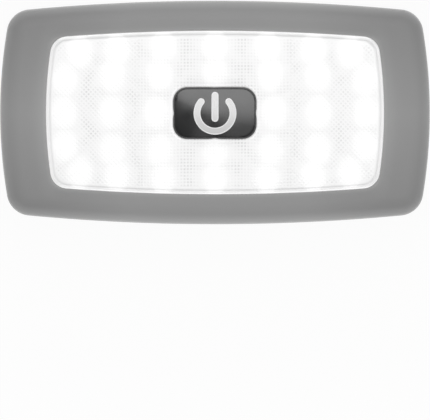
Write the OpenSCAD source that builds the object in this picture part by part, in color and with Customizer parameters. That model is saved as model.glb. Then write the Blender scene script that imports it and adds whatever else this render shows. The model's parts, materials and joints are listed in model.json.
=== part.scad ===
// Car dome light: a bowed rectangular interior lamp that screws to the headlining.
// A grey bezel with a glowing lens snaps over a flat base plate. Behind the lens
// a white board carries the LEDs and a push switch, which the dark button in the
// middle of the lens works.
// Frame: +X along the lamp, +Z out of the lens, origin in the middle of the mounting face.

/* [Housing] */
// Length of the bezel, end to end
housing_l = 125; // [118:1:135]
// Width of the bezel, side to side
housing_w = 65; // [61:1:72]
// Height of the bezel's flat front above the mounting face
housing_h = 13.6; // [13.4:0.2:16]
// Radius of the two bowed long sides
side_r = 579; // [450:1:900]
// Radius of the two bowed ends
end_r = 146; // [120:1:200]
// Radius of the rounded corners
corner_r = 7; // [6:0.25:8]
// Width of the falling part of the front
fall_w = 5.8; // [5:0.1:5.9]
// Wall of the bezel
wall_t = 1.8; // [1.4:0.1:2.2]
// Radius of the bezel's outer edge
edge_r = 3.2; // [2.6:0.1:4]
// Radius of the front where it falls from the flat to the edge
crown_r = 14; // [11:0.5:20]
// Draft of the bezel's side wall, in degrees
draft = 2; // [0.5:0.5:3]
// Gap between the bezel's lower rim and the mounting face
rim_gap = 0.4; // [0.2:0.1:0.8]

/* [Window] */
// Width of the bezel's rim at the middle of each end
rim_end_w = 13.3; // [11.5:0.1:16]
// Width of the bezel's rim at the middle of each long side
rim_side_w = 8.6; // [8:0.05:11]
// Radius of the window's bowed long sides
window_side_r = 562; // [450:1:900]
// Radius of the window's bowed ends
window_end_r = 124; // [100:1:180]
// Radius of the window's corners
window_corner_r = 5.1; // [4.5:0.1:6.5]
// Chamfer round the window's front edge
window_bevel = 0.4; // [0.2:0.1:0.6]

/* [Lens] */
// Height of the lens face above the bezel's flat front
lens_proud = 0.8; // [0.4:0.1:1.4]
// Thickness of the lens plate
lens_t = 1.8; // [1.2:0.1:2.4]
// Thickness of the lens's upright skirt
lens_skirt_t = 1.4; // [1:0.1:2]
// Radius round the lens's front edge
lens_edge_r = 0.5; // [0.4:0.1:1.1]
// Gap between the lens and the window's edge
lens_gap = 0.12; // [0.08:0.02:0.2]
// Width of the lens's hidden flange
flange_w = 1.4; // [1:0.1:1.6]
// Thickness of the lens's hidden flange
flange_t = 1.2; // [0.9:0.1:1.6]
// Radius of the pegs that hold the lens
peg_r = 1.1; // [0.8:0.1:1.4]
// Width of the plain border between the lens's edge and its groove
border_w = 0.3; // [0.2:0.05:0.8]
// Width of the shallow groove round the prism field
groove_w = 0.5; // [0.3:0.05:0.7]
// Depth of that groove
groove_d = 0.18; // [0.1:0.02:0.3]
// Thickness of the collar round the button's hole
collar_t = 1.2; // [0.9:0.1:1.5]

/* [Button] */
// Length of the push button
button_l = 23.7; // [20:0.1:25]
// Width of the push button
button_w = 14.4; // [12:0.1:15.6]
// Radius of the button's corners
button_corner_r = 3.8; // [3:0.1:5]
// Height of the button's crown above the lens face
button_proud = 1; // [0.6:0.1:1.6]
// Radius of the button's domed top
button_dome_r = 110; // [80:5:200]
// Radius round the button's top edge
button_edge_r = 0.4; // [0.3:0.1:0.9]
// Wall of the button
button_t = 1.3; // [1:0.1:1.6]
// Gap between the button and its hole in the lens
button_gap = 0.3; // [0.25:0.05:0.5]
// Travel of the button
travel = 1.5; // [1:0.1:1.6]

/* [Board] */
// Thickness of the base plate's floor
floor_t = 2; // [1.6:0.1:2.1]
// Height of the board's underside above the floor
standoff_h = 3; // [2.8:0.1:3.2]
// Thickness of the circuit board
board_t = 1.6; // [1.2:0.1:1.7]
// Distance that the board reaches past the window
board_margin = 1.4; // [1:0.1:1.8]
// Side of a square LED
led_size = 5; // [4:0.1:5.4]
// Height of an LED
led_h = 1.6; // [1:0.1:1.7]
// Radius of a board screw's shank
shank_r = 1.1; // [0.9:0.05:1.25]
// Radius of a board screw's head
head_r = 2.2; // [1.8:0.1:2.6]
// Radius of the two locating pins
pin_r = 1.2; // [0.9:0.05:1.5]

/* [Switch] */
// Side of the square switch body
switch_size = 8.4; // [7.8:0.1:8.6]
// Side of the plunger's square stem
stem_size = 3.4; // [3:0.1:3.6]
// Turns of the return spring
spring_turns = 5; // [4:1:6]

/* [Mounting] */
// Distance of the two ceiling screws from the bezel's ends
mount_inset = 7.5; // [7:0.1:8]
// Radius of a ceiling screw's hole
mount_hole_r = 2.1; // [1.6:0.1:2.4]
// Radius of the cable's hole
cable_hole_r = 3.5; // [2.5:0.1:4]

/* [Hidden] */
LED_COUNT = 34;
RESISTOR_COUNT = 12;

// Facets of bores, and steps of each outline's end, corner and side arcs in a quarter
bore_fn = 48;
end_steps = 5;
corner_steps = 8;
side_steps = 5;
edge_steps = 5;
crown_steps = 4;

// Outlines as [half length, half width, end radius, side radius, corner radius]
window_l = housing_l - 2 * rim_end_w;
window_w = housing_w - 2 * rim_side_w;
housing = [housing_l / 2, housing_w / 2, end_r, side_r, corner_r];
window = [window_l / 2, window_w / 2, window_end_r, window_side_r, window_corner_r];
lens_outline = inset(window, lens_gap);
flange_outline = inset(window, -flange_w);
board_outline = inset(window, -board_margin);

// Levels above the mounting face
ceiling_z = housing_h - wall_t;
flange_z = ceiling_z - flange_t;
lens_z = housing_h + lens_proud;
lens_under_z = lens_z - lens_t;
board_z = floor_t + standoff_h;
board_top = board_z + board_t;
led_top = board_top + led_h;
button_z = lens_z + button_proud;
over = 1; // how far a cutter runs past what it cuts
fit = 0.02; // between a piece and the one that it is pressed on
slip = 0.3; // between pieces that slide

// Base plate
base_gap = 0.4; // between its rim's top and the bezel's drafted wall
base_rim_t = 1.4;
base_rim_h = 2.4;
base_rim_z = floor_t + base_rim_h;
base_inset = wall_t / cos(draft) + (base_rim_z - rim_gap) * tan(draft) + base_gap;
mount_x = housing_l / 2 - mount_inset;
mount_boss_wall = 2.3;
mount_boss_r = mount_hole_r + mount_boss_wall;
mount_boss_h = 1.4;
post_wall = 1.2; // of the posts that carry the board, past their pin
boss_wall = 1.9; // of the bosses that the board's screws cut into
rib_t = 1.2;
base_outline = inset(housing, base_inset);

// Snap arms of the base plate, and the ledges of the bezel that they hold
snap_w = 8;
snap_t = 1.3;
snap_gap = 0.15;
snap_in = base_inset + base_rim_t + snap_gap;
ledge_h = 1.8;
ledge_root = 0.2; // how far a ledge is sunk in the bezel's wall
ledge_top = base_rim_z + ledge_h;
barb_d = 0.8;
barb_h = 1.4;
snap_side_x = 0.27 * housing_l;
snap_end_y = 0.2 * housing_w;

// Lens pegs
peg_ear_w = 1.3;
peg_x = window_l / 2 + peg_r + peg_ear_w;
peg_y = 10;
peg_head_h = 0.7;
peg_head_r = peg_r + 0.7;

// Button: its skirt, its retaining flange and the hole that it works in
hole_z = lens_under_z - 1; // lower end of the lens's collar
cap_flange_w = 1.2;
cap_flange_t = 1;
cap_rib_t = 1;
socket_wall = 1.2;
cap_top = hole_z - slip;
cap_bottom = cap_top - cap_flange_t;
dome_drop = sag(button_dome_r, norm([button_l, button_w]) / 2);
cap_ceiling = button_z - dome_drop - button_t;

// Switch
switch_bottom = floor_t + 0.6;
switch_rise = 1.8; // of the switch's body above the board
switch_top = board_top + switch_rise;
switch_wall = 0.8;
cover_t = 0.6;
cover_top = switch_top + cover_t;
head_size = switch_size - 2 * switch_wall - 2 * slip;
head_t = 1;
head_top = switch_top - slip;
spring_z = switch_bottom + switch_wall;
spring_top = head_top - head_t;
spring_r = 1.6;
wire_r = 0.25;
boss_bottom = cover_top + travel + 0.4;
guide_r = 0.8; // the plunger's stub inside the spring
ear_w = 2;
ear_t = 0.8;
cutout_gap = 0.3; // between the switch and the board's cut-out
terminal_r = 0.4;
terminal_hole_r = 0.5;
terminal_x = switch_size / 2 + cutout_gap + terminal_hole_r + 0.4;
terminal_y = switch_size / 2 - 1.4;
leg_w = 3;
leg_t = 0.25;

// Board screws
screw_head_h = 1.3;
screw_slot = [2.4, 0.5]; // of the cross recess

// Small parts on the board
foot_h = 0.5; // of an LED's leads
resistor_size = [2, 1.25, 0.5];
diode_size = [2.6, 4.2, 1.9];
diode_feet = [1.6, 5, 0.4];
header_size = [4.6, 6.4, 2.7];
header_wall = 0.6;
header_pitch = 2.54;
header_pin_r = 0.35;

// LEDs: places in the window's quarter, as shares of its half length and half width
led_rows = [
    [[0.799, 0.733], [0.579, 0.771], [0.307, 0.800], [0, 0.804]],
    [[0.886, 0.404], [0.604, 0.451], [0.327, 0.463], [0, 0.472]],
    [[0.890, 0], [0.610, 0], [0.3455, 0]]];
led_places = concat(
    across(led_rows[0], 1), across(led_rows[1], 1), across(led_rows[2], 0),
    across(led_rows[1], -1), across(led_rows[0], -1));

// Board screws and pins stand midway between LEDs, and so do the diode and the cable's hole
screw_place = (in_window(led_rows[0][1]) + in_window(led_rows[0][2])
    + in_window(led_rows[1][1]) + in_window(led_rows[1][2])) / 4;
pin_x = (in_window(led_rows[2][0]) + in_window(led_rows[2][1]))[0] / 2;
diode_x = (in_window(led_rows[2][1]) + in_window(led_rows[2][2]))[0] / 2;
cable_x = -diode_x;
header_x = -pin_x + pin_r + post_wall + 0.8 + header_size[0] / 2;

// Resistors stand in two rows between the LED rows
resistor_shares = [[0.417, 0.235], [0.549, 0.235], [0.752, 0.235]];
resistor_places = [for (sy = [1, -1], sx = [-1, 1], p = resistor_shares)
    [sx * in_window(p)[0], sy * in_window(p)[1]]];

function numbered(name, i) = str(name, i < 10 ? "_0" : "_", i);
function in_window(share) = [share[0] * window_l / 2, share[1] * window_w / 2];
function across(row, side) = let (places = [for (p = row) in_window(p)]) concat(
    [for (p = places) [-p[0], side * p[1]]],
    [for (p = reversed(places)) if (p[0] > 0) [p[0], side * p[1]]]);

function inset(o, d) = [for (v = o) v - d];
function polar(c, r, a) = c + r * [cos(a), sin(a)];
function reversed(list) = [for (i = [len(list) - 1 : -1 : 0]) list[i]];
function begun_at(k, list) = [for (i = [0 : len(list) - 1]) list[(i + k) % len(list)]];
function trimmed(list, first, last) = [for (i = [first : len(list) - 1 - last]) list[i]];
function at_height(points, z) = [for (p = points) [p[0], p[1], z]];

// How far an arc of radius r has fallen at distance d from its middle
function sag(r, d) = r - sqrt(r * r - d * d);

// Centre of the rounded corner, where the end's and the side's arcs meet, both moved in
// by the corner's radius
function corner_centre(o) =
    let (
        p = [o[0] - o[2], 0],
        q = [0, o[1] - o[3]],
        dist = norm(q - p),
        u = (q - p) / dist,
        a = o[2] - o[4],
        b = o[3] - o[4],
        t = (a * a - b * b + dist * dist) / (2 * dist))
    p + t * u + sqrt(a * a - t * t) * [-u[1], u[0]];

// Points of a bowed outline, first its quarter from the end's middle to the side's middle
function quarter(o) =
    let (
        p = [o[0] - o[2], 0],
        q = [0, o[1] - o[3]],
        c = corner_centre(o),
        end_half = atan2(c[1] - p[1], c[0] - p[0]),
        side_from = atan2(c[1] - q[1], c[0] - q[0]))
    concat(
        [for (i = [0 : end_steps - 1]) polar(p, o[2], end_half * i / end_steps)],
        [for (i = [0 : corner_steps])
            polar(c, o[4], end_half + (side_from - end_half) * i / corner_steps)],
        [for (i = [1 : side_steps]) polar(q, o[3], side_from + (90 - side_from) * i / side_steps)]);

function whole(quarter_points) =
    let (
        q1 = quarter_points,
        q2 = reversed([for (p = q1) [-p[0], p[1]]]),
        q3 = [for (p = q1) [-p[0], -p[1]]],
        q4 = reversed([for (p = q1) [p[0], -p[1]]]))
    concat(q1, trimmed(q2, 1, 0), trimmed(q3, 1, 0), trimmed(q4, 1, 1));

function outline(o) = whole(quarter(o));

// Points of a rounded rectangle from the middle of a corner, with steps along its straight sides
function rounded(l, w, r) = begun_at(3 + corner_steps / 2, whole(concat(
    [for (i = [0 : 2]) [l / 2, (w / 2 - r) * i / 3]],
    [for (i = [0 : corner_steps]) polar([l / 2 - r, w / 2 - r], r, 90 * i / corner_steps)],
    [for (i = [2 : -1 : 0]) [(l / 2 - r) * i / 3, w / 2]])));

// Prism of an outline's points
module plate(points, z0, z1) {
    translate([0, 0, z0]) linear_extrude(z1 - z0) polygon(points);
}

// Skin over rings of equal counts of points. The rings run from the top outward and down.
// A looped skin joins its last ring to its first, the other has its two ends closed.
module skin(rings, looped) {
    n = len(rings[0]);
    m = len(rings);
    polyhedron(
        points = [for (r = rings, p = r) p],
        faces = concat(
            [for (j = [0 : m - (looped ? 1 : 2)], i = [0 : n - 1])
                let (k = (j + 1) % m, h = (i + 1) % n)
                each [[j * n + i, k * n + h, k * n + i], [j * n + i, j * n + h, k * n + h]]],
            looped ? [] : [
                [for (i = [n - 1 : -1 : 0]) i],
                [for (i = [0 : n - 1]) (m - 1) * n + i]]));
}

// Bezel: the falling front and the wall as [distance in from the outline, height],
// moved in by t. The wall, the outer edge and the crown are tangent to one another.
function front_points(t) =
    let (
        a = draft,
        reach = crown_r - edge_r,
        da = fall_w - edge_r / cos(a),
        db = housing_h - crown_r - rim_gap,
        k = da * tan(a) + db,
        m = 1 + tan(a) * tan(a),
        u = (k + sqrt(k * k - m * (da * da + db * db - reach * reach))) / m,
        edge_c = [edge_r / cos(a) + u * tan(a), rim_gap + u],
        crown_c = [fall_w, housing_h - crown_r],
        fall = atan2(crown_c[0] - edge_c[0], edge_c[1] - crown_c[1]))
    concat(
        [for (i = [0 : crown_steps]) let (p = 90 + fall * i / crown_steps)
            polar(crown_c, crown_r - t, p)],
        [for (i = [1 : edge_steps]) let (p = 90 + fall + (90 - a - fall) * i / edge_steps)
            polar(edge_c, edge_r - t, p)],
        [[t / cos(a), rim_gap]]);

function bezel_rings() = concat(
    [for (s = reversed(front_points(wall_t))) at_height(outline(inset(housing, s[0])), s[1])],
    [at_height(outline(window), ceiling_z),
     at_height(outline(window), housing_h - window_bevel),
     at_height(outline(inset(window, -window_bevel)), housing_h)],
    [for (s = front_points(0)) at_height(outline(inset(housing, s[0])), s[1])]);

// Places a child at each snap: x is along the edge, y is the distance in from the outline
module at_snaps() {
    for (sy = [0, 180], sx = [-1, 1]) {
        rotate([0, 0, sy])
            translate([sx * snap_side_x, housing_w / 2 - sag(side_r, snap_side_x), 0])
                rotate([0, 0, 180 - sx * asin(snap_side_x / side_r)]) children();
        rotate([0, 0, sy])
            translate([housing_l / 2 - sag(end_r, snap_end_y), sx * snap_end_y, 0])
                rotate([0, 0, 90 + sx * asin(snap_end_y / end_r)]) children();
    }
}

module bezel() {
    color("darkgray") {
        skin(bezel_rings(), true);
        at_snaps()
            translate([-snap_w / 2, wall_t - ledge_root, base_rim_z])
                cube([snap_w, snap_in - snap_gap - wall_t + ledge_root, ledge_h]);
        for (sx = [-1, 1], sy = [-1, 1]) translate([sx * peg_x, sy * peg_y, 0]) {
            translate([0, 0, flange_z - peg_head_h])
                cylinder(r = peg_r, h = peg_head_h + flange_t + wall_t / 2, $fn = bore_fn);
            translate([0, 0, flange_z - peg_head_h])
                cylinder(r = peg_head_r, h = peg_head_h, $fn = bore_fn);
        }
    }
}

function lens_rings() = concat(
    [for (s = [[groove_w, 0], [groove_w * 2 / 3, groove_d], [groove_w / 3, groove_d], [0, 0]])
        at_height(outline(inset(lens_outline, lens_edge_r + border_w + s[0])), lens_z - s[1])],
    [for (i = [0 : 3]) let (p = 30 * i)
        at_height(outline(inset(lens_outline, lens_edge_r * (1 - sin(p)))),
                  lens_z - lens_edge_r * (1 - cos(p)))],
    [at_height(outline(lens_outline), ceiling_z),
     at_height(outline(flange_outline), ceiling_z),
     at_height(outline(flange_outline), flange_z),
     at_height(outline(inset(lens_outline, lens_skirt_t)), flange_z),
     at_height(outline(inset(lens_outline, lens_skirt_t)), lens_under_z)]);

function button_hole(extra) = rounded(
    button_l + 2 * (button_gap + extra),
    button_w + 2 * (button_gap + extra),
    button_corner_r + button_gap + extra);

module lens() {
    color("white")
    difference() {
        union() {
            skin(lens_rings(), false);
            plate(button_hole(collar_t), hole_z, lens_under_z + lens_t / 2);
            for (sx = [-1, 1], sy = [-1, 1])
                translate([sx * peg_x, sy * peg_y, flange_z])
                    cylinder(r = peg_r + peg_ear_w, h = flange_t, $fn = bore_fn);
        }
        plate(button_hole(0), hole_z - over, lens_z + over);
        for (sx = [-1, 1], sy = [-1, 1])
            translate([sx * peg_x, sy * peg_y, flange_z - over])
                cylinder(r = peg_r + fit, h = flange_t + 2 * over, $fn = bore_fn);
    }
}

// Button: its domed top's rings, the inner ones as shares of the outline
function domed(points, drop) = [for (p = points)
    [p[0], p[1], button_z - sag(button_dome_r, norm(p)) - drop]];

function button_outline(d) = rounded(button_l - 2 * d, button_w - 2 * d, button_corner_r - d);

function button_rings() = concat(
    [for (s = [0.25, 0.5, 0.75]) domed(s * button_outline(button_edge_r), 0)],
    [for (i = [0 : 3]) let (p = 30 * i)
        domed(button_outline(button_edge_r * (1 - sin(p))), button_edge_r * (1 - cos(p)))],
    [at_height(button_outline(0), cap_bottom)]);

module button_cap() {
    color("black")
    difference() {
        union() {
            difference() {
                union() {
                    skin(button_rings(), false);
                    plate(button_outline(-cap_flange_w), cap_bottom, cap_top);
                }
                plate(button_outline(button_t), cap_bottom - over, cap_ceiling);
            }
            square_column(stem_size + 2 * socket_wall, boss_bottom, cap_ceiling + button_t / 2);
            for (size = [[button_l - button_t, cap_rib_t], [cap_rib_t, button_w - button_t]])
                translate([-size[0] / 2, -size[1] / 2, cap_ceiling - cap_rib_t])
                    cube([size[0], size[1], cap_rib_t + button_t / 2]);
        }
        square_column(stem_size + 2 * fit, boss_bottom - over, cap_ceiling);
    }
}

module square_column(size, z0, z1) {
    translate([-size / 2, -size / 2, z0]) cube([size, size, z1 - z0]);
}

module at_corners(x, y) {
    for (sx = [-1, 1], sy = [-1, 1]) translate([sx * x, sy * y, 0]) children();
}

module base_plate() {
    color("gainsboro")
    difference() {
        union() {
            plate(outline(base_outline), 0, floor_t);
            difference() {
                plate(outline(base_outline), 0, base_rim_z);
                plate(outline(inset(base_outline, base_rim_t)), floor_t, base_rim_z + over);
            }
            at_snaps() snap_arm();
            at_corners(screw_place[0], screw_place[1])
                cylinder(r = shank_r + boss_wall, h = board_z, $fn = bore_fn);
            for (sx = [-1, 1]) translate([sx * pin_x, 0, 0]) {
                cylinder(r = pin_r + post_wall, h = board_z, $fn = bore_fn);
                cylinder(r = pin_r, h = board_top + board_t / 3, $fn = bore_fn);
            }
            for (sx = [-1, 1]) translate([sx * mount_x, 0, 0])
                cylinder(r = mount_boss_r, h = floor_t + mount_boss_h, $fn = bore_fn);
            for (sy = [-1, 1])
                translate([-window_l / 2, sy * window_w / 5 - rib_t / 2, floor_t / 2])
                    cube([window_l, rib_t, floor_t / 2 + rib_t]);
        }
        for (sx = [-1, 1]) translate([sx * mount_x, 0, 0]) {
            translate([0, 0, -over])
                cylinder(r = mount_hole_r, h = floor_t + mount_boss_h + 2 * over, $fn = bore_fn);
            translate([0, 0, floor_t + mount_boss_h / 8])
                cylinder(
                    r1 = mount_hole_r,
                    r2 = mount_boss_r - mount_boss_h / 4,
                    h = mount_boss_h,
                    $fn = bore_fn);
        }
        translate([cable_x, 0, -over]) cylinder(r = cable_hole_r, h = floor_t + 2 * over, $fn = bore_fn);
        at_corners(screw_place[0], screw_place[1]) translate([0, 0, floor_t / 2])
            cylinder(r = shank_r + fit, h = board_z, $fn = bore_fn);
    }
}

// Arm that stands on the base plate's floor, with a barb over the bezel's ledge
module snap_arm() {
    barb_z = ledge_top + snap_gap;
    translate([-snap_w / 2, snap_in, 0]) cube([snap_w, snap_t, barb_z + barb_h]);
    translate([-snap_w / 2, snap_in + snap_t / 2, barb_z])
        rotate([90, 0, 90])
            linear_extrude(snap_w)
                polygon([
                    [0, 0],
                    [-snap_t / 2 - barb_d, 0],
                    [-snap_t / 2 - barb_d, barb_h / 4],
                    [-snap_t / 2, barb_h],
                    [0, barb_h]]);
}

module circuit_board() {
    color("whitesmoke")
    difference() {
        plate(outline(board_outline), board_z, board_top);
        square_column(switch_size + 2 * cutout_gap, board_z - over, board_top + over);
        at_corners(screw_place[0], screw_place[1]) board_hole(shank_r + slip);
        for (sx = [-1, 1]) translate([sx * pin_x, 0, 0]) board_hole(pin_r + slip / 2);
        at_corners(terminal_x, terminal_y) board_hole(terminal_hole_r);
        for (sy = [-1, 1]) translate([header_x, sy * header_pitch / 2, 0]) board_hole(terminal_hole_r);
    }
}

module board_hole(r) {
    translate([0, 0, board_z - over]) cylinder(r = r, h = board_t + 2 * over, $fn = bore_fn);
}

module board_screws() {
    color("silver")
    at_corners(screw_place[0], screw_place[1])
        difference() {
            union() {
                translate([0, 0, board_top]) cylinder(r = head_r, h = screw_head_h, $fn = bore_fn);
                translate([0, 0, floor_t * 3 / 4])
                    cylinder(r = shank_r, h = board_top - floor_t * 3 / 4 + screw_head_h / 4, $fn = bore_fn);
            }
            for (size = [screw_slot, reversed(screw_slot)])
                translate([-size[0] / 2, -size[1] / 2, board_top + 0.4 * screw_head_h])
                    cube([size[0], size[1], screw_head_h]);
        }
}

module led(i) {
    place = led_places[i - 1];
    lead_w = 0.18 * led_size;
    lead_out = 0.03 * led_size;
    color("ivory")
    translate([place[0], place[1], board_top])
        difference() {
            union() {
                translate([-led_size / 2 + lead_out, -led_size / 2, foot_h / 2])
                    cube([led_size - 2 * lead_out, led_size, led_h - foot_h / 2]);
                for (y = [-1, 0, 1])
                    translate([-led_size / 2 - lead_out, 0.32 * led_size * y - lead_w / 2, 0])
                        cube([led_size + 2 * lead_out, lead_w, foot_h]);
            }
            translate([0, 0, led_h * 2 / 3])
                cylinder(r1 = 0.34 * led_size, r2 = 0.42 * led_size, h = led_h, $fn = bore_fn);
        }
}

// A block on the board between two wider or longer feet
module resistor(i) {
    place = resistor_places[i - 1];
    foot = resistor_size[0] / 4;
    lip = resistor_size[2] / 10;
    color("dimgray")
    translate([place[0], place[1], board_top]) {
        translate([-resistor_size[0] / 2 + foot / 2, -resistor_size[1] / 2 + lip, 0])
            cube([resistor_size[0] - foot, resistor_size[1] - 2 * lip, resistor_size[2] - lip]);
        for (sx = [-1, 1])
            translate([sx * (resistor_size[0] - foot) / 2 - foot / 2, -resistor_size[1] / 2, 0])
                cube([foot, resistor_size[1], resistor_size[2]]);
    }
}

module diode() {
    color("dimgray")
    translate([diode_x, 0, board_top]) {
        translate([-diode_size[0] / 2, -diode_size[1] / 2, diode_feet[2] / 2]) cube(diode_size);
        translate([-diode_feet[0] / 2, -diode_feet[1] / 2, 0]) cube(diode_feet);
    }
}

// Header that hangs under the board, open towards the cable's hole
module wire_header() {
    header_bottom = board_z - header_size[2];
    color("ivory") {
        difference() {
            translate([header_x - header_size[0] / 2, -header_size[1] / 2, header_bottom]) cube(header_size);
            translate([header_x - header_size[0] / 4, -header_size[1] / 2 + header_wall, header_bottom + header_wall])
                cube([header_size[0], header_size[1] - 2 * header_wall, header_size[2] - 2 * header_wall]);
        }
        for (sy = [-1, 1]) {
            translate([header_x, sy * header_pitch / 2, board_z - header_size[2] / 2])
                cylinder(r = header_pin_r, h = header_size[2] / 2 + board_t - slip, $fn = bore_fn);
            translate([
                header_x - header_size[0] / 4 - header_wall / 2,
                sy * header_pitch / 2 - header_pin_r,
                board_z - header_size[2] / 2 - header_pin_r])
                cube([0.6 * header_size[0], 2 * header_pin_r, 2 * header_pin_r]);
        }
    }
}

module switch_body() {
    color("black")
    difference() {
        union() {
            square_column(switch_size, switch_bottom, switch_top);
            translate([-switch_size / 2 - ear_w, -switch_size / 2, board_top])
                cube([switch_size + 2 * ear_w, switch_size, ear_t]);
        }
        square_column(switch_size - 2 * switch_wall, spring_z, switch_top + over);
        at_corners(terminal_x, terminal_y)
            translate([0, 0, board_top - over])
                cylinder(r = terminal_r + fit, h = ear_t + 2 * over, $fn = bore_fn);
    }
}

module switch_terminals() {
    color("silver")
    at_corners(terminal_x, terminal_y)
        translate([0, 0, board_z - board_t / 2])
            cylinder(r = terminal_r, h = board_t * 3 / 2 + ear_t, $fn = bore_fn);
}

module switch_cover() {
    leg_z = board_top + ear_t / 2;
    color("silver")
    difference() {
        union() {
            square_column(switch_size, switch_top, cover_top);
            for (sy = [-1, 1])
                translate([-leg_w / 2, sy * (switch_size + leg_t) / 2 - leg_t / 2, leg_z])
                    cube([leg_w, leg_t, cover_top - leg_z]);
        }
        square_column(stem_size + 2 * slip, switch_top - over, cover_top + over);
    }
}

module switch_plunger() {
    color("white") {
        square_column(stem_size, spring_top, cap_ceiling);
        square_column(head_size, spring_top, head_top);
        translate([0, 0, spring_z + travel + slip])
            cylinder(r = guide_r, h = spring_top - spring_z - travel - slip + head_t / 2, $fn = bore_fn);
    }
}

// Spring: a six-sided wire wound up from the switch's floor to the plunger's head
module switch_spring() {
    turn_steps = 16;
    steps = spring_turns * turn_steps;
    low = spring_z + wire_r;
    rise = spring_top - wire_r - low;
    color("silver")
    skin([for (i = [0 : steps]) let (a = 360 * i / turn_steps, z = low + rise * i / steps)
        [for (b = [0 : 60 : 300]) let (r = spring_r + wire_r * sin(b))
            [r * cos(a), r * sin(a), z + wire_r * cos(b)]]], false);
}

base_plate();
bezel();
lens();
button_cap();
circuit_board();
board_screws();
switch_body();
switch_cover();
switch_terminals();
switch_plunger();
switch_spring();
wire_header();
diode();
for (i = [1 : LED_COUNT])
    led(i);
for (i = [1 : RESISTOR_COUNT])
    resistor(i);
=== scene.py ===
# Car dome light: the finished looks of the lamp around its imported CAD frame.
# Sizes in the dictionaries are in millimetres, as in the part's source, and angles in degrees. The meshes,
# the studio's lamps and the camera's near and far limits are in metres.
import json
import math
import bmesh
import bpy
from mathutils import Matrix, Vector


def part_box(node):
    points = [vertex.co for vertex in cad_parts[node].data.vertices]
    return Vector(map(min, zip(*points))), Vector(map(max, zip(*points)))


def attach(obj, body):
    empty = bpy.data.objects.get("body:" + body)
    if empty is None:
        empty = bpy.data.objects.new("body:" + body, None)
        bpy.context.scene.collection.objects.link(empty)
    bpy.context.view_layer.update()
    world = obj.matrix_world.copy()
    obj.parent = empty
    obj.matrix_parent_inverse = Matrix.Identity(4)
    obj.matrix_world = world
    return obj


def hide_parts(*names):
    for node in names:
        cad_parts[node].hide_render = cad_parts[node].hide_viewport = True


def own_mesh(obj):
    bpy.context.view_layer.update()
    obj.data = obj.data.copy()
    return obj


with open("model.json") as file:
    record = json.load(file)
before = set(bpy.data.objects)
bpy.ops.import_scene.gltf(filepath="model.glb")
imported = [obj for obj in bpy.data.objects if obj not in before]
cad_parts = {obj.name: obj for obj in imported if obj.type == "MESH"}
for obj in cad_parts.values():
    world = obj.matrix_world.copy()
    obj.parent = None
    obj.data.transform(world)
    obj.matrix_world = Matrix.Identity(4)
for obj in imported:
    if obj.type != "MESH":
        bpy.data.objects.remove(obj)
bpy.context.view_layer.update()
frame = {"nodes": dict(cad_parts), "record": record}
print("frame loaded:", len(frame["nodes"]), "nodes")

mm = 0.001
up = (0, 0, 1)
slack = 0.01  # within which a vertex counts as being at a height or on a side
weld = {"mesh": 0.0005, "bezel": 0.001, "outline": 0.02}
whiteLight = "#ffffff"
smoothly = {"interpolation_type": "SMOOTHSTEP"}

# small helpers


def linear(hexColour):
    values = [int(hexColour[i:i + 2], 16) / 255 for i in (1, 3, 5)]
    return [v / 12.92 if v <= 0.04045 else ((v + 0.055) / 1.055) ** 2.4 for v in values] + [1.0]


def metres(sizes):
    return [size * mm for size in sizes]


def addNode(tree, kind, inputs=(), **settings):
    # inputs go in by name, by number or in order, and a node among them is linked by its first output
    node = tree.nodes.new("ShaderNode" + kind)
    for name, value in settings.items():
        setattr(node, name, value)
    for name, value in inputs.items() if isinstance(inputs, dict) else enumerate(inputs):
        if isinstance(value, bpy.types.Node):
            value = value.outputs[0]
        if isinstance(value, bpy.types.NodeSocket):
            tree.links.new(value, node.inputs[name])
        else:
            node.inputs[name].default_value = value
    return node


def only(kind, items):
    return [item for item in items if isinstance(item, kind)]


def finishMesh(bm, name, body, material, replaced=(), smoothAngle=32):
    bmesh.ops.remove_doubles(bm, verts=bm.verts, dist=weld["mesh"])
    bmesh.ops.recalc_face_normals(bm, faces=bm.faces)
    bmesh.ops.scale(bm, vec=(mm, mm, mm), verts=bm.verts)
    for face in bm.faces:
        face.smooth = True
    for edge in bm.edges:
        if len(edge.link_faces) == 2 and edge.calc_face_angle(0) > math.radians(smoothAngle):
            edge.smooth = False
    mesh = bpy.data.meshes.new(name)
    bm.to_mesh(mesh)
    bm.free()
    piece = bpy.data.objects.new(name, mesh)
    bpy.context.scene.collection.objects.link(piece)
    mesh.materials.append(material)
    # broad flats stay flat beside small bevels
    weighted = piece.modifiers.new("Weighted normals", "WEIGHTED_NORMAL")
    weighted.keep_sharp = True
    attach(piece, body)
    if replaced:
        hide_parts(*replaced)
    return piece


# outlines: every one is a vertex spun round its arcs and drawn along its straight sides


def arc(bm, vert, centre, degrees, steps):
    spun = bmesh.ops.spin(
        bm, geom=[vert], cent=(centre[0], centre[1], vert.co.z), axis=up,
        angle=math.radians(degrees), steps=steps, use_duplicate=False)
    return only(bmesh.types.BMVert, spun["geom_last"])[0]


def faceFrom(bm, before):
    # the upward face inside the edges that were drawn since
    verts = [v for v in bm.verts if v not in before]
    bmesh.ops.remove_doubles(bm, verts=verts, dist=weld["outline"])
    edges = [e for e in bm.edges if not e.link_faces and not any(v in before for v in e.verts)]
    face = bmesh.ops.contextual_create(bm, geom=edges)["faces"][0]
    face.normal_update()
    if face.normal.z < 0:
        face.normal_flip()
    return face


def moved(outline, distance):
    # an outline of the same make, further in by a distance
    return {key: value - distance for key, value in outline.items()}


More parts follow.
